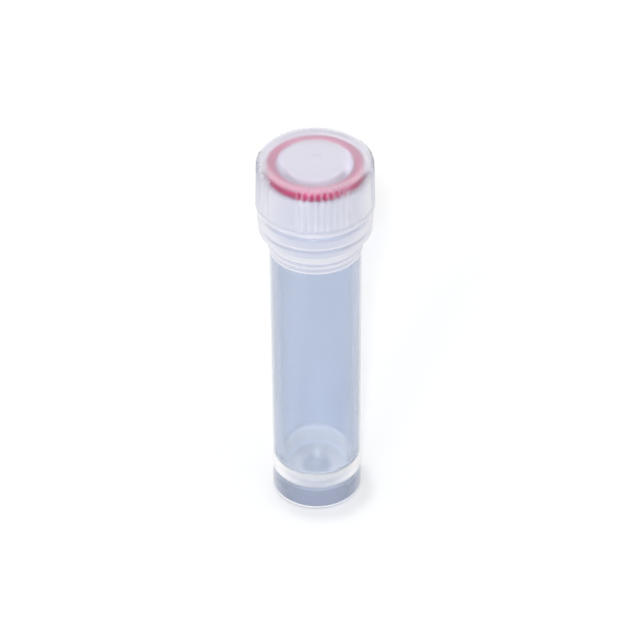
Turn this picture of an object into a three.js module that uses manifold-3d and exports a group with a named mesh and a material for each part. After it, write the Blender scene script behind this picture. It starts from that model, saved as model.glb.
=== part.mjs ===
// Self-standing 2 ml cryovial in natural polypropylene: a one-piece moulded tube with a hollow foot,
// a ribbed screw cap with a sealing plug, and the soft ring that the cap presses on the tube's rim.
// Millimetres, +Z up. The origin is the centre of the foot, on the surface the tube stands on.
import * as THREE from 'three';
import { mergeVertices, toCreasedNormals } from 'three/addons/utils/BufferGeometryUtils.js';
import Module from 'manifold-3d';

const wasm = await Module();
wasm.setup();

// Heights above the surface the tube stands on.
const CAP_TOP_HEIGHT = 48.7;
const RIM_HEIGHT = 46.65;
const CAP_FOOT_HEIGHT = 42.5;
const COLLAR_TOP_HEIGHT = 42.2;
const COLLAR_FOOT_HEIGHT = 39.3;
const BODY_TOP_HEIGHT = 36.2;
const CONE_HEIGHT = 5.3; // where the bore starts to close in
const FLOOR_HEIGHT = 2.4;
const UNDERSIDE_HEIGHT = 1.35; // the lowest point under the floor

// Sizes of the tube. Its walls lean a little, so that it leaves the mould.
const FOOT_RADIUS = 5.33;
const BODY_TOP_RADIUS = 5.4;
const NECK_RADIUS = 5.5;
const COLLAR_RADIUS = 6.74;
const THREAD_ROOT_RADIUS = 5.45;
const BORE_MOUTH_RADIUS = 4.5;
const BORE_FOOT_RADIUS = 4.3;
const FOOT_WALL = 0.86;
const FOOT_DRAFT = 0.02;
const MOUTH_CHAMFER = { width: 0.1, depth: 0.35 };

// The floor is a shallow dish that hangs in the hollow foot, with the stub of the mould's gate below.
const GATE_STUB = { radius: 0.55, flare: 0.05, length: 0.25 };
const DISH_BELOW = { radius: 3.6, cornerRise: 0.55 };
const DISH_INSIDE = { flatRadius: 1.4, sag: 0.05, radius: 3.8, rise: 1.2 };

// The collar flares out from the neck, and a groove parts its foot from the band under the cap.
const FLARE_DEPTH = 1.35;
const COLLAR_EDGE = { lowSetback: 0.08, highSetback: 0.05, height: 0.8 };
const COLLAR_GROOVE = { depth: 0.22, middle: 1.15, top: 1.5 };

// Two fine beads ring the body below the collar, and the wall sinks in where the floor thickens it.
const BEADS = 2;
const BEAD_PITCH = 0.75;
const BEAD_RELIEF = 0.12;
const BEAD_HALF_WIDTH = 0.3;
const SINK = { foot: 1.9, top: 4.3, depth: 0.08, run: 0.65 };

// Sizes of the cap.
const SKIRT_TOP_RADIUS = 6.6;
const SKIRT_FOOT_RADIUS = 6.75;
const SKIRT_BORE_RADIUS = 6.12;
const SKIRT_CHAMFER = { width: 0.2, depth: 0.35 };
const BORE_DRAFT = 0.06;
const LIP_RADIUS = 6.93;
const LIP_HEIGHT = 0.5;
const LIP_SLOPE = 0.15;
const PLATE_THICKNESS = 0.8;
const PLUG_RADIUS = 4.42;
const PLUG_BORE_RADIUS = 3.45;
const PLUG_DEPTH = 2.6;
const PLUG_LEAD_IN = { width: 0.3, height: 0.8, draft: 0.04 };
const PLUG_BORE_DRAFT = 0.05;
const GATE_DIMPLE = { radius: 0.9, depth: 0.05, slope: 0.3 };

// One right-hand thread, cut by the same lead on the tube's neck and inside the cap.
const THREAD_PITCH = 2.2;
const TUBE_THREAD = {
  turns: 1.375,
  halfWidth: 0.42,
  reach: 0.5,
  foot: 42.9,
  footAngle: THREE.MathUtils.degToRad(-60),
};
const CAP_THREAD = { turns: 1.25, halfWidth: 0.42, reach: 0.45 };
const THREAD_BULGE = 0.6; // 1 gives a half-round ridge, and less gives a fuller one
const THREAD_ROOT_SINK = 0.15; // how far a ridge's root is let into its wall
const THREAD_SEAT = 0.75; // how far the cap's thread runs below the tube's thread that it pulls on
const THREAD_START_GAP = 0.1; // from the cap's foot to the start of its thread

// Grip ribs, in groups with smooth panels between them.
const RIB_GROUPS = 4;
const RIBS_PER_GROUP = 9;
const RIB_PITCH = THREE.MathUtils.degToRad(6.5);
const FIRST_GROUP_ANGLE = THREE.MathUtils.degToRad(-80.5);
const RIB_RADIUS = 0.26;
const RIB_RELIEF = 0.18;
const RIB_FOOT_HEIGHT = 43.2;
const RIB_TOP_HEIGHT = 48.5;

// Sealing ring, squashed between the rim and the cap's plate.
const RING_CLEARANCE = 0.03;
const RING_OUTER_RADIUS = 5.6;

// Fineness of the round surfaces.
const TURN_FACETS = 48;
const FILLET_CHORD_ANGLE = THREE.MathUtils.degToRad(45);
const RING_CHORDS = 12;
const THREAD_CHORDS = 4;
const FACET_ANGLE = (2 * Math.PI) / TURN_FACETS;

const PLATE_UNDERSIDE = CAP_TOP_HEIGHT - PLATE_THICKNESS;

// ---- Shape helpers ----------------------------------------------------------------------------

// An outline of corners [radius, height, fillet]. A corner with a fillet becomes an arc.
function filletedOutline(corners) {
  const places = corners.map(([radius, height]) => new THREE.Vector2(radius, height));
  return places.flatMap((corner, i) => {
    const fillet = corners[i][2];
    if (!fillet) {
      return [corner];
    }
    const back = places[i - 1].clone().sub(corner).normalize();
    const ahead = places[i + 1].clone().sub(corner).normalize();
    const halfAngle = Math.acos(THREE.MathUtils.clamp(back.dot(ahead), -1, 1)) / 2;
    const centre = back.clone().add(ahead).normalize();
    centre.multiplyScalar(fillet / Math.sin(halfAngle)).add(corner);
    const reach = fillet / Math.tan(halfAngle);
    const start = back.multiplyScalar(reach).add(corner).sub(centre);
    const end = ahead.multiplyScalar(reach).add(corner).sub(centre);
    const clockwise = start.cross(end) < 0;
    const arc = new THREE.EllipseCurve(
      centre.x, centre.y, fillet, fillet, start.angle(), end.angle(), clockwise,
    );
    return arc.getPoints(Math.ceil((Math.PI - 2 * halfAngle) / FILLET_CHORD_ANGLE));
  });
}

// Turns an outline round the Z axis. It runs anticlockwise with the radius to the right.
function turned(outline) {
  return new THREE.LatheGeometry(outline, TURN_FACETS).rotateX(Math.PI / 2);
}

// A closed mesh as a solid that can be joined and cut. Triangles that shrink to a line are dropped.
function toSolid(geometry) {
  const bare = new THREE.BufferGeometry();
  bare.setAttribute('position', geometry.getAttribute('position').clone());
  bare.setIndex(geometry.index);
  const welded = mergeVertices(bare);
  const corners = welded.index.array;
  const kept = [];
  for (let i = 0; i < corners.length; i += 3) {
    const [a, b, c] = corners.subarray(i, i + 3);
    if (a !== b && b !== c && c !== a) {
      kept.push(a, b, c);
    }
  }
  return new wasm.Manifold(new wasm.Mesh({
    numProp: 3,
    vertProperties: new Float32Array(welded.getAttribute('position').array),
    triVerts: new Uint32Array(kept),
  }));
}

function toGeometry(solid) {
  const { vertProperties, triVerts } = solid.getMesh();
  const geometry = new THREE.BufferGeometry();
  geometry.setAttribute('position', new THREE.BufferAttribute(vertProperties, 3));
  geometry.setIndex(new THREE.BufferAttribute(triVerts, 1));
  return geometry;
}

// A rounded ridge that climbs round a wall as a right-hand helix and runs out into it at both ends.
// A positive reach stands out from the wall, and a negative one stands into the bore.
function helicalRidge({ wallRadius, reach, halfWidth, turns, foot, footAngle }) {
  const side = Math.sign(reach);
  const sunk = 0.03; // the ridge's two edges and its run-outs end this far inside the wall
  const runOutSteps = TURN_FACETS / 8;
  const steps = Math.round(turns * TURN_FACETS);
  const ring = THREAD_CHORDS + 3;
  const positions = [];
  for (let step = 0; step <= steps; step++) {
    const angle = footAngle + step * FACET_ANGLE;
    const height = foot + (THREAD_PITCH * step) / TURN_FACETS;
    const growth = THREE.MathUtils.smoothstep(Math.min(step, steps - step), 0, runOutSteps);
    const place = (out, up) => {
      const radius = wallRadius + side * out;
      positions.push(radius * Math.cos(angle), radius * Math.sin(angle), height + side * up);
    };
    place(-THREAD_ROOT_SINK, -halfWidth);
    for (let chord = 0; chord <= THREAD_CHORDS; chord++) {
      const turn = (Math.PI * chord) / THREAD_CHORDS;
      const bulge = Math.max(Math.sin(turn), 0) ** THREAD_BULGE;
      place(growth * (Math.abs(reach) + sunk) * bulge - sunk, -Math.cos(turn) * halfWidth);
    }
    place(-THREAD_ROOT_SINK, halfWidth);
  }
  const faces = [];
  for (let step = 0; step < steps; step++) {
    for (let i = 0; i < ring; i++) {
      const a = step * ring + i;
      const b = step * ring + ((i + 1) % ring);
      faces.push(a, b + ring, b, a, a + ring, b + ring);
    }
  }
  const last = steps * ring;
  for (let i = 1; i < ring - 1; i++) {
    faces.push(0, i, i + 1, last, last + i + 1, last + i);
  }
  const geometry = new THREE.BufferGeometry();
  geometry.setAttribute('position', new THREE.Float32BufferAttribute(positions, 3));
  geometry.setIndex(faces);
  return geometry;
}

// ---- Tube -------------------------------------------------------------------------------------

// The foot is a short hollow skirt, and the floor of the bore hangs inside it.
function tubeOutline() {
  const footBore = FOOT_RADIUS - FOOT_WALL;
  const underside = [
    [0, UNDERSIDE_HEIGHT],
    [GATE_STUB.radius, UNDERSIDE_HEIGHT],
    [GATE_STUB.radius + GATE_STUB.flare, UNDERSIDE_HEIGHT + GATE_STUB.length],
    [DISH_BELOW.radius, FLOOR_HEIGHT, 0.8],
    [footBore, FLOOR_HEIGHT + DISH_BELOW.cornerRise, 0.3],
    [footBore + FOOT_DRAFT, 0, 0.3],
  ];
  const body = [
    [FOOT_RADIUS, 0, 0.35],
    [FOOT_RADIUS, SINK.foot],
    [FOOT_RADIUS - SINK.depth, SINK.foot + SINK.run],
    [FOOT_RADIUS - SINK.depth, SINK.top - SINK.run],
    [FOOT_RADIUS, SINK.top],
  ];
  const beads = [];
  for (let bead = 0; bead < BEADS; bead++) {
    const middle = BODY_TOP_HEIGHT + BEAD_HALF_WIDTH + bead * BEAD_PITCH;
    beads.push([BODY_TOP_RADIUS, middle - BEAD_HALF_WIDTH]);
    beads.push([BODY_TOP_RADIUS + BEAD_RELIEF, middle]);
    beads.push([BODY_TOP_RADIUS, middle + BEAD_HALF_WIDTH]);
  }
  const collar = [
    [NECK_RADIUS, COLLAR_FOOT_HEIGHT - FLARE_DEPTH, 0.3],
    [COLLAR_RADIUS - COLLAR_EDGE.lowSetback, COLLAR_FOOT_HEIGHT, 0.35],
    [COLLAR_RADIUS - COLLAR_EDGE.highSetback, COLLAR_FOOT_HEIGHT + COLLAR_EDGE.height],
    [COLLAR_RADIUS - COLLAR_GROOVE.depth, COLLAR_FOOT_HEIGHT + COLLAR_GROOVE.middle, 0.3],
    [COLLAR_RADIUS, COLLAR_FOOT_HEIGHT + COLLAR_GROOVE.top],
    [COLLAR_RADIUS, COLLAR_TOP_HEIGHT, 0.5],
  ];
  const neck = [
    [THREAD_ROOT_RADIUS, COLLAR_TOP_HEIGHT, 0.25],
    [THREAD_ROOT_RADIUS, RIM_HEIGHT, 0.25],
    [BORE_MOUTH_RADIUS + MOUTH_CHAMFER.width, RIM_HEIGHT, 0.15],
  ];
  const bore = [
    [BORE_MOUTH_RADIUS, RIM_HEIGHT - MOUTH_CHAMFER.depth],
    [BORE_FOOT_RADIUS, CONE_HEIGHT],
    [DISH_INSIDE.radius, FLOOR_HEIGHT + DISH_INSIDE.rise, 0.6],
    [DISH_INSIDE.flatRadius, FLOOR_HEIGHT + DISH_INSIDE.sag, 0.5],
    [0, FLOOR_HEIGHT],
  ];
  return filletedOutline([...underside, ...body, ...beads, ...collar, ...neck, ...bore]);
}

function tubeGeometry() {
  const thread = helicalRidge({ wallRadius: THREAD_ROOT_RADIUS, ...TUBE_THREAD });
  return toGeometry(toSolid(turned(tubeOutline())).add(toSolid(thread)));
}

// ---- Cap --------------------------------------------------------------------------------------

function capOutline() {
  const plugFoot = PLATE_UNDERSIDE - PLUG_DEPTH;
  const plug = [
    [0, PLATE_UNDERSIDE],
    [PLUG_BORE_RADIUS, PLATE_UNDERSIDE, 0.25],
    [PLUG_BORE_RADIUS + PLUG_BORE_DRAFT, plugFoot, 0.15],
    [PLUG_RADIUS - PLUG_LEAD_IN.width, plugFoot, 0.2],
    [PLUG_RADIUS - PLUG_LEAD_IN.draft, plugFoot + PLUG_LEAD_IN.height],
    [PLUG_RADIUS, PLATE_UNDERSIDE],
  ];
  const skirtInside = [
    [SKIRT_BORE_RADIUS - BORE_DRAFT, PLATE_UNDERSIDE, 0.3],
    [SKIRT_BORE_RADIUS, CAP_FOOT_HEIGHT + SKIRT_CHAMFER.depth],
    [SKIRT_BORE_RADIUS + SKIRT_CHAMFER.width, CAP_FOOT_HEIGHT],
  ];
  const skirtOutside = [
    [LIP_RADIUS, CAP_FOOT_HEIGHT, 0.12],
    [LIP_RADIUS, CAP_FOOT_HEIGHT + LIP_HEIGHT, 0.1],
    [SKIRT_FOOT_RADIUS, CAP_FOOT_HEIGHT + LIP_HEIGHT + LIP_SLOPE],
    [SKIRT_TOP_RADIUS, CAP_TOP_HEIGHT, 0.65],
  ];
  const gateDimple = [
    [GATE_DIMPLE.radius, CAP_TOP_HEIGHT],
    [GATE_DIMPLE.radius - GATE_DIMPLE.slope, CAP_TOP_HEIGHT - GATE_DIMPLE.depth],
    [0, CAP_TOP_HEIGHT - GATE_DIMPLE.depth],
  ];
  return filletedOutline([...plug, ...skirtInside, ...skirtOutside, ...gateDimple]);
}

// One grip rib: a round bar with round ends, let into the skirt and leaning with its draft.
function rib(angle) {
  const drop = RIB_TOP_HEIGHT - RIB_FOOT_HEIGHT;
  const draft = (SKIRT_FOOT_RADIUS - SKIRT_TOP_RADIUS) / (CAP_TOP_HEIGHT - CAP_FOOT_HEIGHT);
  const middle = (RIB_TOP_HEIGHT + RIB_FOOT_HEIGHT) / 2;
  const wall = SKIRT_TOP_RADIUS + draft * (CAP_TOP_HEIGHT - middle);
  return new THREE.CapsuleGeometry(RIB_RADIUS, drop - 2 * RIB_RADIUS, 2, 8)
    .rotateX(Math.PI / 2)
    .rotateY(-Math.atan(draft))
    .translate(wall + RIB_RELIEF - RIB_RADIUS, 0, middle)
    .rotateZ(angle);
}

function ribAngles() {
  const angles = [];
  for (let group = 0; group < RIB_GROUPS; group++) {
    const centre = FIRST_GROUP_ANGLE + (group * 2 * Math.PI) / RIB_GROUPS;
    for (let i = 0; i < RIBS_PER_GROUP; i++) {
      angles.push(centre + (i - (RIBS_PER_GROUP - 1) / 2) * RIB_PITCH);
    }
  }
  return angles;
}

// The cap's thread lies under the tube's, on the same helix moved down by the seat.
function capThread() {
  const lowest = CAP_FOOT_HEIGHT + CAP_THREAD.halfWidth + THREAD_START_GAP;
  const steps = Math.ceil(
    ((lowest + THREAD_SEAT - TUBE_THREAD.foot) / THREAD_PITCH) * TURN_FACETS,
  );
  return helicalRidge({
    wallRadius: SKIRT_BORE_RADIUS - BORE_DRAFT / 2,
    reach: -CAP_THREAD.reach,
    halfWidth: CAP_THREAD.halfWidth,
    turns: CAP_THREAD.turns,
    foot: TUBE_THREAD.foot - THREAD_SEAT + (THREAD_PITCH * steps) / TURN_FACETS,
    footAngle: TUBE_THREAD.footAngle + steps * FACET_ANGLE,
  });
}

function capGeometry() {
  const ribs = ribAngles().map(rib);
  const added = [capThread(), ...ribs].map(toSolid);
  return toGeometry(added.reduce((cap, extra) => cap.add(extra), toSolid(turned(capOutline()))));
}

// ---- Sealing ring -----------------------------------------------------------------------------

// A soft square section with round corners, between the rim below, the plate above and the plug.
function ringGeometry() {
  const inner = PLUG_RADIUS + RING_CLEARANCE;
  const low = RIM_HEIGHT + RING_CLEARANCE;
  const high = PLATE_UNDERSIDE - RING_CLEARANCE;
  const outline = [];
  for (let chord = 0; chord <= RING_CHORDS; chord++) {
    const turn = (2 * Math.PI * chord) / RING_CHORDS;
    const squash = (value) => Math.sign(value) * Math.sqrt(Math.abs(value));
    outline.push(new THREE.Vector2(
      (inner + RING_OUTER_RADIUS) / 2 + (squash(Math.cos(turn)) * (RING_OUTER_RADIUS - inner)) / 2,
      (low + high) / 2 + (squash(Math.sin(turn)) * (high - low)) / 2,
    ));
  }
  return toGeometry(toSolid(turned(outline)));
}

// ---- Assembly ---------------------------------------------------------------------------------

const polypropylene = { roughness: 0.35, metalness: 0, transparent: true };
const tubePlastic = new THREE.MeshStandardMaterial({ ...polypropylene, color: 0xc3cfe4, opacity: 0.6 });
const capPlastic = new THREE.MeshStandardMaterial({ ...polypropylene, color: 0xdcdeea, opacity: 0.6 });
const silicone = new THREE.MeshStandardMaterial({ color: 0xd9568b, roughness: 0.6, metalness: 0 });

function named(name, geometry, material) {
  const crease = THREE.MathUtils.degToRad(30);
  const mesh = new THREE.Mesh(toCreasedNormals(geometry, crease), material);
  mesh.name = name;
  return mesh;
}

const cryovial = new THREE.Group();
cryovial.add(named('tube', tubeGeometry(), tubePlastic));
cryovial.add(named('cap', capGeometry(), capPlastic));
cryovial.add(named('o_ring', ringGeometry(), silicone));

export default cryovial;
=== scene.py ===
import math
from typing import NamedTuple

import bpy
import numpy as np
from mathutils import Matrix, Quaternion, Vector

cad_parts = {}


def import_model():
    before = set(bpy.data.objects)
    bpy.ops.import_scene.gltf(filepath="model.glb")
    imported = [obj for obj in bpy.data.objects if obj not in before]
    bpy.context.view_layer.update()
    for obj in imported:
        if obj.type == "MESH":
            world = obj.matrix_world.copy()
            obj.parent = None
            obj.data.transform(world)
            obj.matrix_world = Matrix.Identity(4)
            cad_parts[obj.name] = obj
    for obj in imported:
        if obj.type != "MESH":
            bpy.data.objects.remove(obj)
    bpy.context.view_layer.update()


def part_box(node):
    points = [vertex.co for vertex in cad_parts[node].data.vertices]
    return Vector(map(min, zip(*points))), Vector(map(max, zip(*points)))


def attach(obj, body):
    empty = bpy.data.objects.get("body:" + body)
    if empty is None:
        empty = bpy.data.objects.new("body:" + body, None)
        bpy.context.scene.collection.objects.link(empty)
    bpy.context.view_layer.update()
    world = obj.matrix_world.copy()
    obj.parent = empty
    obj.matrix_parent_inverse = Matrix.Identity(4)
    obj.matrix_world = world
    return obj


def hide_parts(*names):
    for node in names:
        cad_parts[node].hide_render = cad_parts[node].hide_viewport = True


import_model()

MM = 0.001
WHOLE_TURN = 2 * math.pi
TUBE_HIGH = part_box("tube")[1]
CAP_LOW, CAP_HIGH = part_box("cap")
RING_LOW, RING_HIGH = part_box("o_ring")

# Sizes of the tube, in millimetres, the same as in the CAD model.
RIM = TUBE_HIGH.z / MM
COLLAR_RADIUS = TUBE_HIGH.x / MM
COLLAR_TOP = 42.2
COLLAR_FOOT = 39.3
FLARE = 1.35
COLLAR_FOOT_INSET = 0.08
GROOVE_FOOT = 0.8
GROOVE_FOOT_INSET = 0.05
GROOVE_MIDDLE = 1.15
GROOVE_DEPTH = 0.22
GROOVE_TOP = 1.5
BODY_TOP = 36.2
NECK_RADIUS = 5.5
BODY_TOP_RADIUS = 5.4
THREAD_ROOT = 5.45
BORE_MOUTH = 4.5
BORE_FOOT = 4.3
MOUTH_BEVEL = 0.1
MOUTH_DEPTH = 0.35

# Its two beads under the neck, and the sink mark over its floor.
BEADS = 2
BEAD_PITCH = 0.75
BEAD_RELIEF = 0.12
BEAD_HALF_WIDTH = 0.3
SINK_FOOT = 1.9
SINK_TOP = 4.3
SINK_RUN = 0.65
SINK_DEPTH = 0.08

# Its dished floor, and the hollow foot under it with the stub of the gate.
CONE = 5.3
CONE_FOOT_RADIUS = 3.8
CONE_FOOT_RISE = 1.2
DISH_RADIUS = 1.4
DISH_RISE = 0.05
FLOOR = 2.4
UNDER_FLOOR = 1.35
UNDER_FLOOR_RADIUS = 3.6
FOOT_CEILING_RISE = 0.55
FOOT_RADIUS = 5.33
FOOT_WALL = 0.86
FOOT_DRAFT = 0.02
STUB_FOOT_RADIUS = 0.55
STUB_TOP_RADIUS = 0.6
STUB_LENGTH = 0.25

# Sizes of the cap.
CAP_TOP = CAP_HIGH.z / MM
CAP_FOOT = CAP_LOW.z / MM
LIP_RADIUS = CAP_HIGH.x / MM
LIP_HEIGHT = 0.5
LIP_SLOPE = 0.15
PLATE = 0.8
SKIRT_TOP = 6.6
SKIRT_BOTTOM = 6.75
SKIRT_BORE = 6.12
SKIRT_DRAFT = 0.06
LEAD_IN = 0.2
LEAD_IN_HEIGHT = 0.35
PLUG = 4.42
PLUG_BORE = 3.45
PLUG_BORE_DRAFT = 0.05
PLUG_DEPTH = 2.6
PLUG_TAPER = 0.3
PLUG_DRAFT = 0.04
PLUG_TAPER_HEIGHT = 0.8
GATE_RADIUS = 0.9
GATE_DEPTH = 0.05
GATE_SLOPE = 0.3
UNDERSIDE = CAP_TOP - PLATE
RING_CLEARANCE = 0.03

# The right-hand thread. Angles are in turns, anticlockwise from +X.
PITCH = 2.2
REACH = 0.5
CREST_POWER = 0.6
RUN_OUT_TURNS = 1 / 8
TUBE_RIDGE = dict(foot=42.9, start=-60 / 360, turns=1.375, half=0.42)
THREAD_FROM_COLLAR = 0.2
THREAD_SEAT = 0.75
CAP_REACH = REACH - 0.05
CAP_RIDGE_HALF = 0.42
CAP_RIDGE_TURNS = 1.25
CAP_RIDGE_RISE = 0.1
CAP_THREAD_SIDE = 0.3
CAP_THREAD_TOP = 0.2

# Grip ribs, in groups with smooth panels between them.
RIB_GROUPS = 4
RIBS_PER_GROUP = 9
RIB_PITCH = math.radians(6.5)
GROUP_PITCH = WHOLE_TURN / RIB_GROUPS
FIRST_GROUP = math.radians(-80.5)
RIB_RADIUS = 0.26
RIB_RELIEF = 0.18
RIB_FOOT = 43.2
RIB_TOP = 48.65
RIB_TOP_RUN = 0.75

# How fine the meshes are: steps round the axis, and millimetres between rows of points up a wall.
TUBE_STEPS = 420
CAP_STEPS = 600
RING_STEPS = 400
RING_SECTION_STEPS = 48
TUBE_THREAD_ROW = 0.1
CAP_THREAD_ROW = 0.12
RIB_ROW = 0.4
ROOT_WIDTH = 0.01
NEAR_AXIS = 1e-6
CHORD_TURN = math.radians(9)
SHARP_EDGE = math.radians(60)


# ---- Outlines ---------------------------------------------------------------------------------


def filleted(corners):
    """An outline of corners (radius, height, fillet) in millimetres, with each fillet as an arc."""
    places = [Vector(corner[:2]) for corner in corners]
    outline = []
    for i, corner in enumerate(corners):
        radius = corner[2] if len(corner) > 2 else 0
        place = places[i]
        if not radius:
            outline.append(place)
            continue
        back = (places[i - 1] - place).normalized()
        ahead = (places[i + 1] - place).normalized()
        half = back.angle(ahead) / 2
        centre = place + (back + ahead).normalized() * radius / math.sin(half)
        start = place + back * radius / math.tan(half) - centre
        end = place + ahead * radius / math.tan(half) - centre
        turn = math.atan2(start.x * end.y - start.y * end.x, start.dot(end))
        chords = max(2, math.ceil(abs(turn) / CHORD_TURN))
        for k in range(chords + 1):
            cos = math.cos(turn * k / chords)
            sin = math.sin(turn * k / chords)
            spoke = Vector((start.x * cos - start.y * sin, start.x * sin + start.y * cos))
            outline.append(centre + spoke)
    return np.array([tuple(point) for point in outline])


def refined(outline, radius_low, radius_high, row):
    """The outline with points at most a row apart on its upright walls between two radii."""
    points = [outline[0]]
    for a, b in zip(outline, outline[1:]):
        rise, run = abs(b[1] - a[1]), abs(b[0] - a[0])
        upright = rise > 2 * run and min(a[0], b[0]) > radius_low and max(a[0], b[0]) < radius_high
        cuts = max(1, math.ceil(rise / row)) if upright else 1
        points += [a + (b - a) * (k + 1) / cuts for k in range(cuts)]
    return np.array(points)


def smoothstep(x):
    x = np.clip(x, 0, 1)
    return x * x * (3 - 2 * x)


def ridge(height, turn, foot, start, turns, half):
    """How far a helical ridge stands out, from 0 to 1, at each height and angle (in turns)."""
    found = np.zeros(np.broadcast(height, turn).shape)
    for lap in range(-1, math.ceil(turns) + 1):
        along = np.mod(turn - start, 1) + lap
        off = np.abs(height - foot - PITCH * along) / half
        bulge = np.sqrt(np.clip(1 - off**2, 0, 1)) ** CREST_POWER
        run_out = smoothstep(along / RUN_OUT_TURNS) * smoothstep((turns - along) / RUN_OUT_TURNS)
        found = np.maximum(found, bulge * run_out)
    return found


# ---- Meshes -----------------------------------------------------------------------------------


def turned_mesh(name, outline, steps, relief=None):
    """A mesh of the outline turned round Z in steps. relief(radius, height, turn) is added to the radius."""
    turn = np.arange(steps) / steps
    on_axis = outline[:, 0] < NEAR_AXIS
    radius = np.repeat(outline[:, :1], steps, 1)
    height = np.repeat(outline[:, 1:], steps, 1)
    if relief is not None:
        radius = radius + relief(radius, height, turn[None, :])
    rows, verts = [], []
    for i in range(len(outline)):
        if on_axis[i]:
            rows.append([len(verts)] * steps)
            verts.append((0, 0, height[i, 0] * MM))
            continue
        rows.append(range(len(verts), len(verts) + steps))
        for j in range(steps):
            angle = turn[j] * WHOLE_TURN
            x = radius[i, j] * math.cos(angle) * MM
            y = radius[i, j] * math.sin(angle) * MM
            verts.append((x, y, height[i, j] * MM))
    mesh = bpy.data.meshes.new(name)
    mesh.from_pydata(verts, [], faces_between(rows, steps, closed=not on_axis[0]))
    mesh.shade_smooth()
    mesh.set_sharp_from_angle(angle=SHARP_EDGE)
    return linked(name, mesh)


def faces_between(rows, steps, closed):
    """Quads from each row of points to the next, or triangles where a row is one point on the axis."""
    faces = []
    next_rows = rows[1:] + rows[:1] if closed else rows[1:]
    for low, high in zip(rows, next_rows):
        for j in range(steps):
            k = (j + 1) % steps
            face = [low[j], low[k], high[k], high[j]]
            face = [vert for n, vert in enumerate(face) if vert != face[n - 1]]
            if len(face) > 2:
                faces.append(face)
    return faces


def linked(name, data):
    """A new object in the scene."""
    thing = bpy.data.objects.new(name, data)
    bpy.context.scene.collection.objects.link(thing)
    return thing


def tube():
    foot_bore = FOOT_RADIUS - FOOT_WALL
    outline = filleted([
        (0, UNDER_FLOOR),
        (STUB_FOOT_RADIUS, UNDER_FLOOR, 0.06),
        (STUB_TOP_RADIUS, UNDER_FLOOR + STUB_LENGTH, 0.08),
        (UNDER_FLOOR_RADIUS, FLOOR, 0.8),
        (foot_bore, FLOOR + FOOT_CEILING_RISE, 0.3),
        (foot_bore + FOOT_DRAFT, 0, 0.3),
        (FOOT_RADIUS, 0, 0.35),
        (FOOT_RADIUS, SINK_FOOT, 1.5),
        (FOOT_RADIUS - SINK_DEPTH, SINK_FOOT + SINK_RUN, 1.5),
        (FOOT_RADIUS - SINK_DEPTH, SINK_TOP - SINK_RUN, 1.5),
        (FOOT_RADIUS, SINK_TOP, 1.5),
        *beads(),
        (NECK_RADIUS, COLLAR_FOOT - FLARE, 0.3),
        (COLLAR_RADIUS - COLLAR_FOOT_INSET, COLLAR_FOOT, 0.35),
        (COLLAR_RADIUS - GROOVE_FOOT_INSET, COLLAR_FOOT + GROOVE_FOOT, 0.2),
        (COLLAR_RADIUS - GROOVE_DEPTH, COLLAR_FOOT + GROOVE_MIDDLE, 0.3),
        (COLLAR_RADIUS, COLLAR_FOOT + GROOVE_TOP, 0.2),
        (COLLAR_RADIUS, COLLAR_TOP, 0.5),
        (THREAD_ROOT, COLLAR_TOP, 0.25),
        (THREAD_ROOT, RIM, 0.25),
        (BORE_MOUTH + MOUTH_BEVEL, RIM, 0.15),
        (BORE_MOUTH, RIM - MOUTH_DEPTH, 0.5),
        (BORE_FOOT, CONE, 0.3),
        (CONE_FOOT_RADIUS, FLOOR + CONE_FOOT_RISE, 0.4),
        (DISH_RADIUS, FLOOR + DISH_RISE, 0.5),
        (0, FLOOR),
    ])
    outline = refined(outline, THREAD_ROOT - ROOT_WIDTH, THREAD_ROOT + ROOT_WIDTH, TUBE_THREAD_ROW)

    def relief(radius, height, turn):
        neck = (radius > THREAD_ROOT - ROOT_WIDTH) & (height > COLLAR_TOP + THREAD_FROM_COLLAR)
        return np.where(neck, REACH * ridge(height, turn, **TUBE_RIDGE), 0)

    return turned_mesh("vial_tube", outline, TUBE_STEPS, relief)


def beads():
    """Corners of the fine beads at the top of the body, from the lowest up."""
    corners = []
    for bead in range(BEADS):
        middle = BODY_TOP + BEAD_HALF_WIDTH + bead * BEAD_PITCH
        corners += [
            (BODY_TOP_RADIUS, middle - BEAD_HALF_WIDTH, 0.1),
            (BODY_TOP_RADIUS + BEAD_RELIEF, middle, 0.2),
            (BODY_TOP_RADIUS, middle + BEAD_HALF_WIDTH, 0.1),
        ]
    return corners


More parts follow.
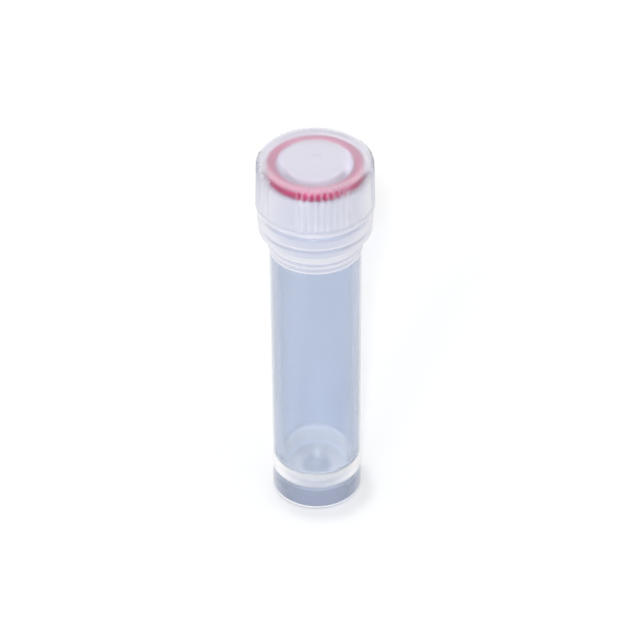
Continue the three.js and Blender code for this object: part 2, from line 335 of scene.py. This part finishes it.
def cap():
    plug_foot = UNDERSIDE - PLUG_DEPTH
    outline = filleted([
        (0, UNDERSIDE),
        (PLUG_BORE, UNDERSIDE, 0.25),
        (PLUG_BORE + PLUG_BORE_DRAFT, plug_foot, 0.15),
        (PLUG - PLUG_TAPER, plug_foot, 0.2),
        (PLUG - PLUG_DRAFT, plug_foot + PLUG_TAPER_HEIGHT, 0.3),
        (PLUG, UNDERSIDE, 0.03),
        (SKIRT_BORE - SKIRT_DRAFT, UNDERSIDE, 0.3),
        (SKIRT_BORE, CAP_FOOT + LEAD_IN_HEIGHT, 0.1),
        (SKIRT_BORE + LEAD_IN, CAP_FOOT, 0.05),
        (LIP_RADIUS, CAP_FOOT, 0.12),
        (LIP_RADIUS, CAP_FOOT + LIP_HEIGHT, 0.1),
        (SKIRT_BOTTOM, CAP_FOOT + LIP_HEIGHT + LIP_SLOPE, 0.06),
        (SKIRT_TOP, CAP_TOP, 0.65),
        (GATE_RADIUS, CAP_TOP, 0.3),
        (GATE_RADIUS - GATE_SLOPE, CAP_TOP - GATE_DEPTH, 0.3),
        (0, CAP_TOP - GATE_DEPTH),
    ])
    thread = cap_ridge()
    in_the_wall = (SKIRT_BORE + LEAD_IN + SKIRT_TOP) / 2
    outline = refined(outline, (PLUG + SKIRT_BORE) / 2, in_the_wall, CAP_THREAD_ROW)
    outline = refined(outline, in_the_wall, LIP_RADIUS, RIB_ROW)

    def relief(radius, height, turn):
        bore = (radius > SKIRT_BORE - CAP_THREAD_SIDE) & (radius < in_the_wall)
        bore = bore & (height < UNDERSIDE - CAP_THREAD_TOP)
        inward = np.where(bore, -CAP_REACH * ridge(height, turn, **thread), 0)
        outward = np.where(radius > in_the_wall, rib_relief(height, turn), 0)
        return inward + outward

    return turned_mesh("vial_cap", outline, CAP_STEPS, relief)


def cap_ridge():
    """The cap's ridge, on the tube's helix but lower by the seat, and starting near the cap's foot."""
    lowest = CAP_FOOT + CAP_RIDGE_HALF + CAP_RIDGE_RISE
    later = (lowest + THREAD_SEAT - TUBE_RIDGE["foot"]) / PITCH
    return dict(
        foot=TUBE_RIDGE["foot"] - THREAD_SEAT + PITCH * later,
        start=TUBE_RIDGE["start"] + later,
        turns=CAP_RIDGE_TURNS,
        half=CAP_RIDGE_HALF,
    )


def rib_relief(height, turn):
    """The grip ribs' height over the skirt: round across, run out over the rim's fillet and at the foot."""
    angle = turn * WHOLE_TURN
    wall = (SKIRT_TOP + SKIRT_BOTTOM) / 2
    across = np.full(np.broadcast(height, turn).shape, np.inf)
    for group in range(RIB_GROUPS):
        for i in range(RIBS_PER_GROUP):
            centre = FIRST_GROUP + group * GROUP_PITCH + (i - (RIBS_PER_GROUP - 1) / 2) * RIB_PITCH
            off = np.abs((angle - centre + math.pi) % WHOLE_TURN - math.pi) * wall
            across = np.minimum(across, off)
    past_end = np.maximum((height - RIB_TOP) / RIB_TOP_RUN + 1, (RIB_FOOT - height) / RIB_RADIUS + 1)
    crown = np.sqrt(np.clip(RIB_RADIUS**2 - across**2, 0, None)) - RIB_RADIUS + RIB_RELIEF
    return np.maximum(crown, 0) * np.sqrt(np.clip(1 - np.maximum(past_end, 0) ** 2, 0, 1))


def sealing_ring():
    """A ring with a soft square section, which fills its CAD box outwards from the plug."""
    inner = PLUG + RING_CLEARANCE
    middle = Vector(((inner + RING_HIGH.x / MM) / 2, (RING_LOW.z + RING_HIGH.z) / 2 / MM))
    half = Vector((RING_HIGH.x / MM - middle.x, RING_HIGH.z / MM - middle.y))
    outline = []
    for k in range(RING_SECTION_STEPS):
        angle = WHOLE_TURN * k / RING_SECTION_STEPS
        cos = math.cos(angle)
        sin = math.sin(angle)
        outline.append((
            middle.x + half.x * math.copysign(math.sqrt(abs(cos)), cos),
            middle.y + half.y * math.copysign(math.sqrt(abs(sin)), sin),
        ))
    return turned_mesh("sealing_ring", np.array(outline), RING_STEPS)


# ---- Nodes ------------------------------------------------------------------------------------

# Most of a noise pattern's values lie between these.
NOISE_LOW = 0.3
NOISE_HIGH = 0.7


def new_material(name):
    material = bpy.data.materials.new(name)
    material.use_nodes = True
    nodes, links = material.node_tree.nodes, material.node_tree.links
    return material, nodes, links, nodes["Principled BSDF"]


def feed(links, value, socket):
    """Links a socket's value, or sets a plain number or colour."""
    if isinstance(value, bpy.types.NodeSocket):
        links.new(value, socket)
    elif isinstance(value, tuple):
        socket.default_value = (*value, 1)
    else:
        socket.default_value = value


def calculated(nodes, links, operation, *values):
    node = nodes.new("ShaderNodeMath")
    node.operation = operation
    for value, socket in zip(values, node.inputs):
        feed(links, value, socket)
    return node.outputs[0]


def mapped(nodes, links, value, start, end, low=0.0, high=1.0, smooth=False):
    """low up to start, high from end on, and a straight or smooth change between them."""
    node = nodes.new("ShaderNodeMapRange")
    if smooth:
        node.interpolation_type = "SMOOTHSTEP"
    node.inputs["From Min"].default_value = start
    node.inputs["From Max"].default_value = end
    node.inputs["To Min"].default_value = low
    node.inputs["To Max"].default_value = high
    links.new(value, node.inputs["Value"])
    return node.outputs["Result"]


def mixed(nodes, links, share, first, second):
    """A mix of two numbers or colours."""
    node = nodes.new("ShaderNodeMix")
    node.data_type = "RGBA" if isinstance(second, tuple) else "FLOAT"
    sockets = [socket for socket in node.inputs if socket.enabled]
    for value, socket in zip((share, first, second), sockets):
        feed(links, value, socket)
    return next(socket for socket in node.outputs if socket.enabled)


def noise(nodes, links, scale, detail=3, stretch=(1, 1, 1)):
    """Noise in the piece's own coordinates, scale per metre."""
    coordinates = nodes.new("ShaderNodeTexCoord")
    mapping = nodes.new("ShaderNodeMapping")
    mapping.inputs["Scale"].default_value = stretch
    links.new(coordinates.outputs["Object"], mapping.inputs["Vector"])
    texture = nodes.new("ShaderNodeTexNoise")
    texture.inputs["Scale"].default_value = scale
    texture.inputs["Detail"].default_value = detail
    links.new(mapping.outputs["Vector"], texture.inputs["Vector"])
    return texture.outputs["Fac"]


def uneven(nodes, links, pattern, low, high):
    """A number from low to high that follows a noise pattern."""
    return mapped(nodes, links, pattern, NOISE_LOW, NOISE_HIGH, low, high)


def bumped(nodes, links, height, distance, strength=1.0):
    node = nodes.new("ShaderNodeBump")
    node.inputs["Strength"].default_value = strength
    node.inputs["Distance"].default_value = distance
    links.new(height, node.inputs["Height"])
    return node.outputs["Normal"]


# ---- Plastic ----------------------------------------------------------------------------------


class Look(NamedTuple):
    """How plastic looks in one place."""

    tint: tuple  # the colour of its haze and of what shows through it
    clear: float  # the share of light that goes straight through a face
    passed: tuple  # the share of a lamp's light that a face lets past


class Zone(NamedTuple):
    """A place with a look of its own, in millimetres out from the axis and up from the tube's foot. None is
    no limit. height_blur is the blur of foot and top, where it differs from that of inner and outer."""

    look: Look
    inner: float = None
    outer: float = None
    foot: float = None
    top: float = None
    blur: float = 0.15
    height_blur: float = None
    in_valleys: bool = False  # only along the valleys between the grip ribs


VALLEY_MIDDLE = RIB_PITCH * 0.06
VALLEY_SIDE = RIB_PITCH * 0.22
GROUP_HALF = RIBS_PER_GROUP / 2 * RIB_PITCH
GROUP_EDGE_BLUR = 0.02

# A face lets clear ** (SLANT_SCALE / (SLANT_START - slant) ** SLANT_POWER) of the light straight through,
# with a slant of 0 where it is seen square on and 1 where it is seen edge on.
SLANT_SCALE = 0.775
SLANT_START = 1.05
SLANT_POWER = 3.0

COAT_ROUGHNESS = 0.04
CLOUD_SCALE = 160
CLOUD_STRETCH = (1, 1, 0.35)
GRAIN_SCALE = 2600
GRAIN_HEIGHT = 2e-6
GRAIN_STRENGTH = 0.5
ROUGHNESS_SPREAD = 0.2


def zone_weight(nodes, links, zone):
    """How far a point is inside a zone, from 0 to 1."""
    coordinates = nodes.new("ShaderNodeTexCoord")
    split = nodes.new("ShaderNodeSeparateXYZ")
    links.new(coordinates.outputs["Object"], split.inputs[0])
    x, y, height = split.outputs
    x_squared = calculated(nodes, links, "MULTIPLY", x, x)
    y_squared = calculated(nodes, links, "MULTIPLY", y, y)
    radius = calculated(nodes, links, "SQRT", calculated(nodes, links, "ADD", x_squared, y_squared))
    height_blur = zone.blur if zone.height_blur is None else zone.height_blur
    inside = 1.0
    for value, edge, side, blur in (
        (radius, zone.inner, 1, zone.blur),
        (radius, zone.outer, -1, zone.blur),
        (height, zone.foot, 1, height_blur),
        (height, zone.top, -1, height_blur),
    ):
        if edge is not None:
            start = (edge - side * blur) * MM
            end = (edge + side * blur) * MM
            step = mapped(nodes, links, value, start, end, smooth=True)
            inside = calculated(nodes, links, "MULTIPLY", inside, step)
    if zone.in_valleys:
        inside = calculated(nodes, links, "MULTIPLY", between_ribs(nodes, links, x, y), inside)
    return inside


def between_ribs(nodes, links, x, y):
    """1 along the middle of each valley between two grip ribs, and 0 on the rest of the cap."""

    def from_nearest(value, spacing):
        count = calculated(nodes, links, "DIVIDE", value, spacing)
        rest = calculated(nodes, links, "SUBTRACT", count, calculated(nodes, links, "ROUND", count))
        return calculated(nodes, links, "MULTIPLY", rest, spacing)

    def fading(value, inside, outside):
        size = calculated(nodes, links, "ABSOLUTE", value)
        return mapped(nodes, links, size, outside, inside, smooth=True)

    angle = calculated(nodes, links, "ARCTAN2", y, x)
    from_group = from_nearest(calculated(nodes, links, "SUBTRACT", angle, FIRST_GROUP), GROUP_PITCH)
    from_valley = from_nearest(calculated(nodes, links, "ADD", from_group, RIB_PITCH / 2), RIB_PITCH)
    valley = fading(from_valley, VALLEY_MIDDLE, VALLEY_SIDE)
    in_group = fading(from_group, GROUP_HALF * (1 - GROUP_EDGE_BLUR), GROUP_HALF * (1 + GROUP_EDGE_BLUR))
    return calculated(nodes, links, "MULTIPLY", valley, in_group)


def zoned(nodes, links, plain, weights, values):
    """A number or colour that is plain, apart from the zones with these weights, which have these values."""
    for weight, value in zip(weights, values):
        plain = mixed(nodes, links, weight, plain, value)
    return plain


def polypropylene(name, look, zones, roughness, index, absorbed, density, gloss):
    """Translucent plastic with one look, apart from its zones. Each zone lies over those before it. The
    absorbed colour and density tint the light by the length of its way through the plastic."""
    material, nodes, links, shader = new_material(name)
    cloud = noise(nodes, links, CLOUD_SCALE, stretch=CLOUD_STRETCH)
    grain = noise(nodes, links, GRAIN_SCALE, detail=2)
    weights = [zone_weight(nodes, links, zone) for zone in zones]
    tint, clear, passed = (
        zoned(nodes, links, plain, weights, [zone.look[i] for zone in zones]) for i, plain in enumerate(look)
    )
    smoothest = roughness * (1 - ROUGHNESS_SPREAD)
    roughest = roughness * (1 + ROUGHNESS_SPREAD)
    feed(links, tint, shader.inputs["Base Color"])
    links.new(through_the_wall(nodes, links, clear), shader.inputs["Transmission Weight"])
    links.new(uneven(nodes, links, cloud, smoothest, roughest), shader.inputs["Roughness"])
    links.new(bumped(nodes, links, grain, GRAIN_HEIGHT, GRAIN_STRENGTH), shader.inputs["Normal"])
    shader.inputs["IOR"].default_value = index
    shader.inputs["Coat Weight"].default_value = gloss
    shader.inputs["Coat Roughness"].default_value = COAT_ROUGHNESS
    let_lamps_through(nodes, links, shader, passed)
    volume = nodes.new("ShaderNodeVolumeAbsorption")
    volume.inputs["Color"].default_value = (*absorbed, 1)
    volume.inputs["Density"].default_value = density
    links.new(volume.outputs[0], nodes["Material Output"].inputs["Volume"])
    return material


def through_the_wall(nodes, links, clear):
    """The share of light that goes through, less where the wall is seen aslant and the way through it is
    longer."""
    slant = nodes.new("ShaderNodeLayerWeight")
    slant.inputs["Blend"].default_value = 0.5
    squareness = calculated(nodes, links, "SUBTRACT", SLANT_START, slant.outputs["Facing"])
    squareness = calculated(nodes, links, "POWER", squareness, SLANT_POWER)
    way = calculated(nodes, links, "DIVIDE", SLANT_SCALE, squareness)
    return calculated(nodes, links, "POWER", clear, way)


def let_lamps_through(nodes, links, shader, passed):
    """Lets a share of the lamps' light past each face, so that the inside is lit and the shadow is pale."""
    path = nodes.new("ShaderNodeLightPath")
    gap = nodes.new("ShaderNodeBsdfTransparent")
    feed(links, passed, gap.inputs["Color"])
    mix = nodes.new("ShaderNodeMixShader")
    links.new(path.outputs["Is Shadow Ray"], mix.inputs[0])
    links.new(shader.outputs[0], mix.inputs[1])
    links.new(gap.outputs[0], mix.inputs[2])
    links.new(mix.outputs[0], nodes["Material Output"].inputs["Surface"])


# The tube's looks. Its neck, its floor and the band over its foot are thick, and so milkier than its wall.
# Thin painted highlights run along the cone's edges and the foot's bottom edge, and painted shade darkens
# the hollow foot.
TUBE_WALL = Look((0.786, 0.815, 0.874), 0.98, (0.76, 0.77, 0.78))
TUBE_NECK = Look((0.785, 0.785, 0.84), 0.57, (0.95, 0.95, 0.95))
TUBE_FLOOR = Look((0.925, 0.89, 0.84), 0.45, (0.85, 0.85, 0.86))
FLOOR_MIDDLE = Look((0.75, 0.75, 0.76), 0.65, (0.85, 0.85, 0.86))
# Painted highlight: white, hazy lines along the edges of the cone in the floor, for the light those edges
# catch.
CONE_PAINTED_HIGHLIGHT = Look((0.98, 0.98, 0.98), 0.2, (0.9, 0.9, 0.9))
# Painted shade: a dark blue tint over the hollow foot, for the shade inside it. It also lets less lamp light
# in.
HOLLOW_FOOT_PAINTED_SHADE = Look((0.47, 0.505, 0.6), 0.88, (0.6, 0.61, 0.63))
MILKY_BAND = Look((0.96, 0.95, 0.95), 0.76, (0.8, 0.81, 0.83))
# Painted highlight: a white line along the foot's rounded bottom edge.
FOOT_PAINTED_HIGHLIGHT = Look((0.98, 0.98, 0.98), 0.3, (0.9, 0.9, 0.9))


def tube_plastic():
    floor_edge = BORE_FOOT + 0.3
    under = UNDER_FLOOR - 0.35
    line = 0.13
    return polypropylene(
        "tube_plastic",
        TUBE_WALL,
        zones=[
            Zone(TUBE_NECK, foot=BODY_TOP),
            Zone(TUBE_FLOOR, outer=floor_edge, foot=under, top=CONE),
            Zone(FLOOR_MIDDLE, outer=1.9, foot=under, top=FLOOR + 0.6, blur=0.5),
            # Painted highlight lines at the top and at the foot of the cone.
            Zone(CONE_PAINTED_HIGHLIGHT, outer=floor_edge, foot=CONE - line, top=CONE + line, blur=0.08),
            Zone(CONE_PAINTED_HIGHLIGHT, inner=3.4, outer=3.9, foot=FLOOR + 0.9, top=FLOOR + 1.25, blur=0.08),
            # Painted shade over the hollow foot.
            Zone(HOLLOW_FOOT_PAINTED_SHADE, inner=4.2, top=FLOOR + 0.5),
            Zone(MILKY_BAND, inner=5.0, foot=3.4, top=5.6, blur=0.3),
            # Painted highlight line along the foot's bottom edge.
            Zone(FOOT_PAINTED_HIGHLIGHT, inner=5.0, foot=0.25, top=0.5, blur=0.08),
        ],
        roughness=0.18,
        index=1.3,
        absorbed=(0.0, 0.28, 0.74),
        density=100,
        gloss=0.07,
    )


# The cap's looks. It is clearest in front of the ring, and milkiest in its plug. Painted light streaks run
# down the valleys between its grip ribs.
CAP_PASSED = (0.97, 0.97, 0.97)
CAP_WALL = Look((0.9, 0.9, 0.945), 0.93, CAP_PASSED)
BEFORE_THE_RING = Look((0.93, 0.925, 0.96), 0.995, CAP_PASSED)
TOP_RIM = Look((0.95, 0.945, 1.0), 0.84, CAP_PASSED)
TOP_OVER_RING = Look((0.81, 0.77, 0.86), 0.92, CAP_PASSED)
TOP_OVER_PLUG = Look((0.87, 0.83, 0.93), 0.9, CAP_PASSED)
TOP_MIDDLE = Look((0.755, 0.75, 0.82), 0.68, CAP_PASSED)
PLUG_WALL = Look((0.95, 0.94, 0.985), 0.12, (0.95, 0.95, 0.95))
PLUG_CEILING = Look((0.63, 0.62, 0.68), 0.35, CAP_PASSED)
LOW_SKIRT = Look((0.855, 0.86, 0.91), 0.83, CAP_PASSED)
# Painted light streaks: whiter, hazier lines down the valleys between the grip ribs, for the light bands
# that the ribs make.
SKIRT_PAINTED_LIGHT_STREAK = Look((0.94, 0.94, 0.98), 0.78, CAP_PASSED)
PAINTED_LIGHT_STREAK_BEFORE_RING = Look((0.88, 0.86, 0.92), 0.84, CAP_PASSED)
LIP = Look((0.77, 0.775, 0.81), 0.8, CAP_PASSED)


def cap_plastic():
    outside = 5.8
    ring_foot = 47.2
    painted_streak_foot = ring_foot + 0.2
    top = CAP_TOP - 0.06
    plug_top = CAP_TOP - 0.85
    return polypropylene(
        "cap_plastic",
        CAP_WALL,
        zones=[
            Zone(BEFORE_THE_RING, inner=outside, foot=ring_foot, top=CAP_TOP - 0.1, blur=0.2),
            Zone(TOP_RIM, inner=5.6, foot=CAP_TOP - 0.1, blur=0.3, height_blur=0.08),
            Zone(TOP_OVER_RING, outer=5.4, foot=top, blur=0.3, height_blur=0.04),
            Zone(TOP_OVER_PLUG, outer=4.3, foot=top, blur=0.25, height_blur=0.04),
            Zone(TOP_MIDDLE, outer=3.75, foot=top, blur=0.35, height_blur=0.04),
            Zone(PLUG_WALL, outer=4.35, top=plug_top, blur=0.05),
            Zone(PLUG_CEILING, outer=3.5, foot=plug_top, top=CAP_TOP - 0.6, blur=0.05),
            Zone(LOW_SKIRT, inner=5.0, top=46.8, blur=0.3),
            # Painted light streaks down the rib valleys, below the ring and in front of it.
            Zone(SKIRT_PAINTED_LIGHT_STREAK, inner=outside, foot=RIB_FOOT, top=painted_streak_foot, blur=0.2, in_valleys=True),
            Zone(PAINTED_LIGHT_STREAK_BEFORE_RING, inner=outside, foot=painted_streak_foot, blur=0.2, in_valleys=True),
            Zone(LIP, inner=6.0, top=43.15, blur=0.05),
        ],
        roughness=0.34,
        index=1.28,
        absorbed=(0.7, 0.7, 0.9),
        density=30,
        gloss=0.4,
    )


# ---- Silicone ---------------------------------------------------------------------------------

SILICONE_PINK = (0.37, 0.0, 0.085)
SILICONE_PALER = (0.41, 0.002, 0.1)


def ring_rubber():
    material, nodes, links, shader = new_material("ring_rubber")
    cloud = noise(nodes, links, scale=400)
    grain = noise(nodes, links, scale=9000, detail=2)
    links.new(mixed(nodes, links, cloud, SILICONE_PINK, SILICONE_PALER), shader.inputs["Base Color"])
    links.new(uneven(nodes, links, cloud, low=0.4, high=0.5), shader.inputs["Roughness"])
    links.new(bumped(nodes, links, grain, distance=3e-6), shader.inputs["Normal"])
    shader.inputs["Specular IOR Level"].default_value = 0.25
    return material


# ---- Stage ------------------------------------------------------------------------------------

STAGE_HALF = 3.0
STAGE_COLOUR = (0.96, 0.96, 0.96)
STAGE_WHITENING = 0.22
WORLD_LIGHT = 0.6
WHITE = 1.0


def floor():
    """A white floor. Part of it glows to the eye, so that it shows as white, and the rest takes shadows."""
    mesh = bpy.data.meshes.new("floor")
    half = STAGE_HALF
    corners = [(-half, -half, 0), (half, -half, 0), (half, half, 0), (-half, half, 0)]
    mesh.from_pydata(corners, [], [(0, 1, 2, 3)])
    material = bpy.data.materials.new("floor")
    material.use_nodes = True
    nodes, links = material.node_tree.nodes, material.node_tree.links
    nodes.clear()
    diffuse = nodes.new("ShaderNodeBsdfDiffuse")
    feed(links, STAGE_COLOUR, diffuse.inputs["Color"])
    glow = nodes.new("ShaderNodeEmission")
    mix = nodes.new("ShaderNodeMixShader")
    output = nodes.new("ShaderNodeOutputMaterial")
    links.new(seen_directly(nodes, links, STAGE_WHITENING), mix.inputs[0])
    links.new(diffuse.outputs[0], mix.inputs[1])
    links.new(glow.outputs[0], mix.inputs[2])
    links.new(mix.outputs[0], output.inputs["Surface"])
    mesh.materials.append(material)
    return linked("floor", mesh)


def seen_directly(nodes, links, share):
    """share for rays that show the backdrop itself, by eye, mirror or through plastic, and else 0."""
    path = nodes.new("ShaderNodeLightPath")
    seen = path.outputs["Is Camera Ray"]
    for kind in ("Is Glossy Ray", "Is Transmission Ray"):
        seen = calculated(nodes, links, "MAXIMUM", seen, path.outputs[kind])
    return calculated(nodes, links, "MULTIPLY", seen, share)


def world():
    """Even light from all sides, which shows as white."""
    surroundings = bpy.data.worlds.new("studio")
    surroundings.use_nodes = True
    bpy.context.scene.world = surroundings
    nodes, links = surroundings.node_tree.nodes, surroundings.node_tree.links
    background = nodes["Background"]
    background.inputs["Color"].default_value = (1, 1, 1, 1)
    shown = seen_directly(nodes, links, WHITE - WORLD_LIGHT)
    links.new(calculated(nodes, links, "ADD", shown, WORLD_LIGHT), background.inputs["Strength"])


def sun(name, azimuth, elevation, angle, share):
    """A far lamp that adds share to a white face turned to it. Azimuth 0 is in front, and 90 is on +X."""
    light = bpy.data.lights.new(name, "SUN")
    light.angle = math.radians(angle)
    light.energy = math.pi * share
    side, up = math.radians(azimuth), math.radians(elevation)
    away = Vector((math.sin(side) * math.cos(up), -math.cos(side) * math.cos(up), math.sin(up)))
    linked(name, light).rotation_euler = (-away).to_track_quat("-Z", "Y").to_euler()


# The photograph's view: a long lens, aimed at the tube's middle and looking down on it.
DISTANCE = 0.400
ELEVATION = math.radians(38.5)
ROLL = math.radians(-0.29)
AIM = Vector((0.47 * MM, 0, 25.21 * MM))
LENS = 190.1
SENSOR = 36
NEAR = 0.01
FAR = 20


def camera():
    data = bpy.data.cameras.new("camera")
    data.lens = LENS
    data.sensor_width = SENSOR
    data.clip_start = NEAR
    data.clip_end = FAR
    away = Vector((0, -math.cos(ELEVATION), math.sin(ELEVATION)))
    eye = linked("camera", data)
    eye.location = AIM + away * DISTANCE
    eye.rotation_mode = "QUATERNION"
    eye.rotation_quaternion = (-away).to_track_quat("-Z", "Y") @ Quaternion((0, 0, 1), ROLL)
    bpy.context.scene.camera = eye


def finished(piece, material, body, node):
    """Gives a piece its material and the body that it rides on, and hides the CAD node that it stands for.
    """
    piece.data.materials.append(material)
    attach(piece, body)
    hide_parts(node)


camera()
world()
floor()
sun("key", azimuth=-4, elevation=39, angle=3, share=0.3)
sun("side", azimuth=-25, elevation=42, angle=15, share=0.12)
sun("top", azimuth=-150, elevation=88, angle=2, share=0.2)

finished(tube(), tube_plastic(), "tube", "tube")
finished(cap(), cap_plastic(), "cap", "cap")
finished(sealing_ring(), ring_rubber(), "o_ring", "o_ring")

bpy.context.scene.view_settings.view_transform = "Standard"
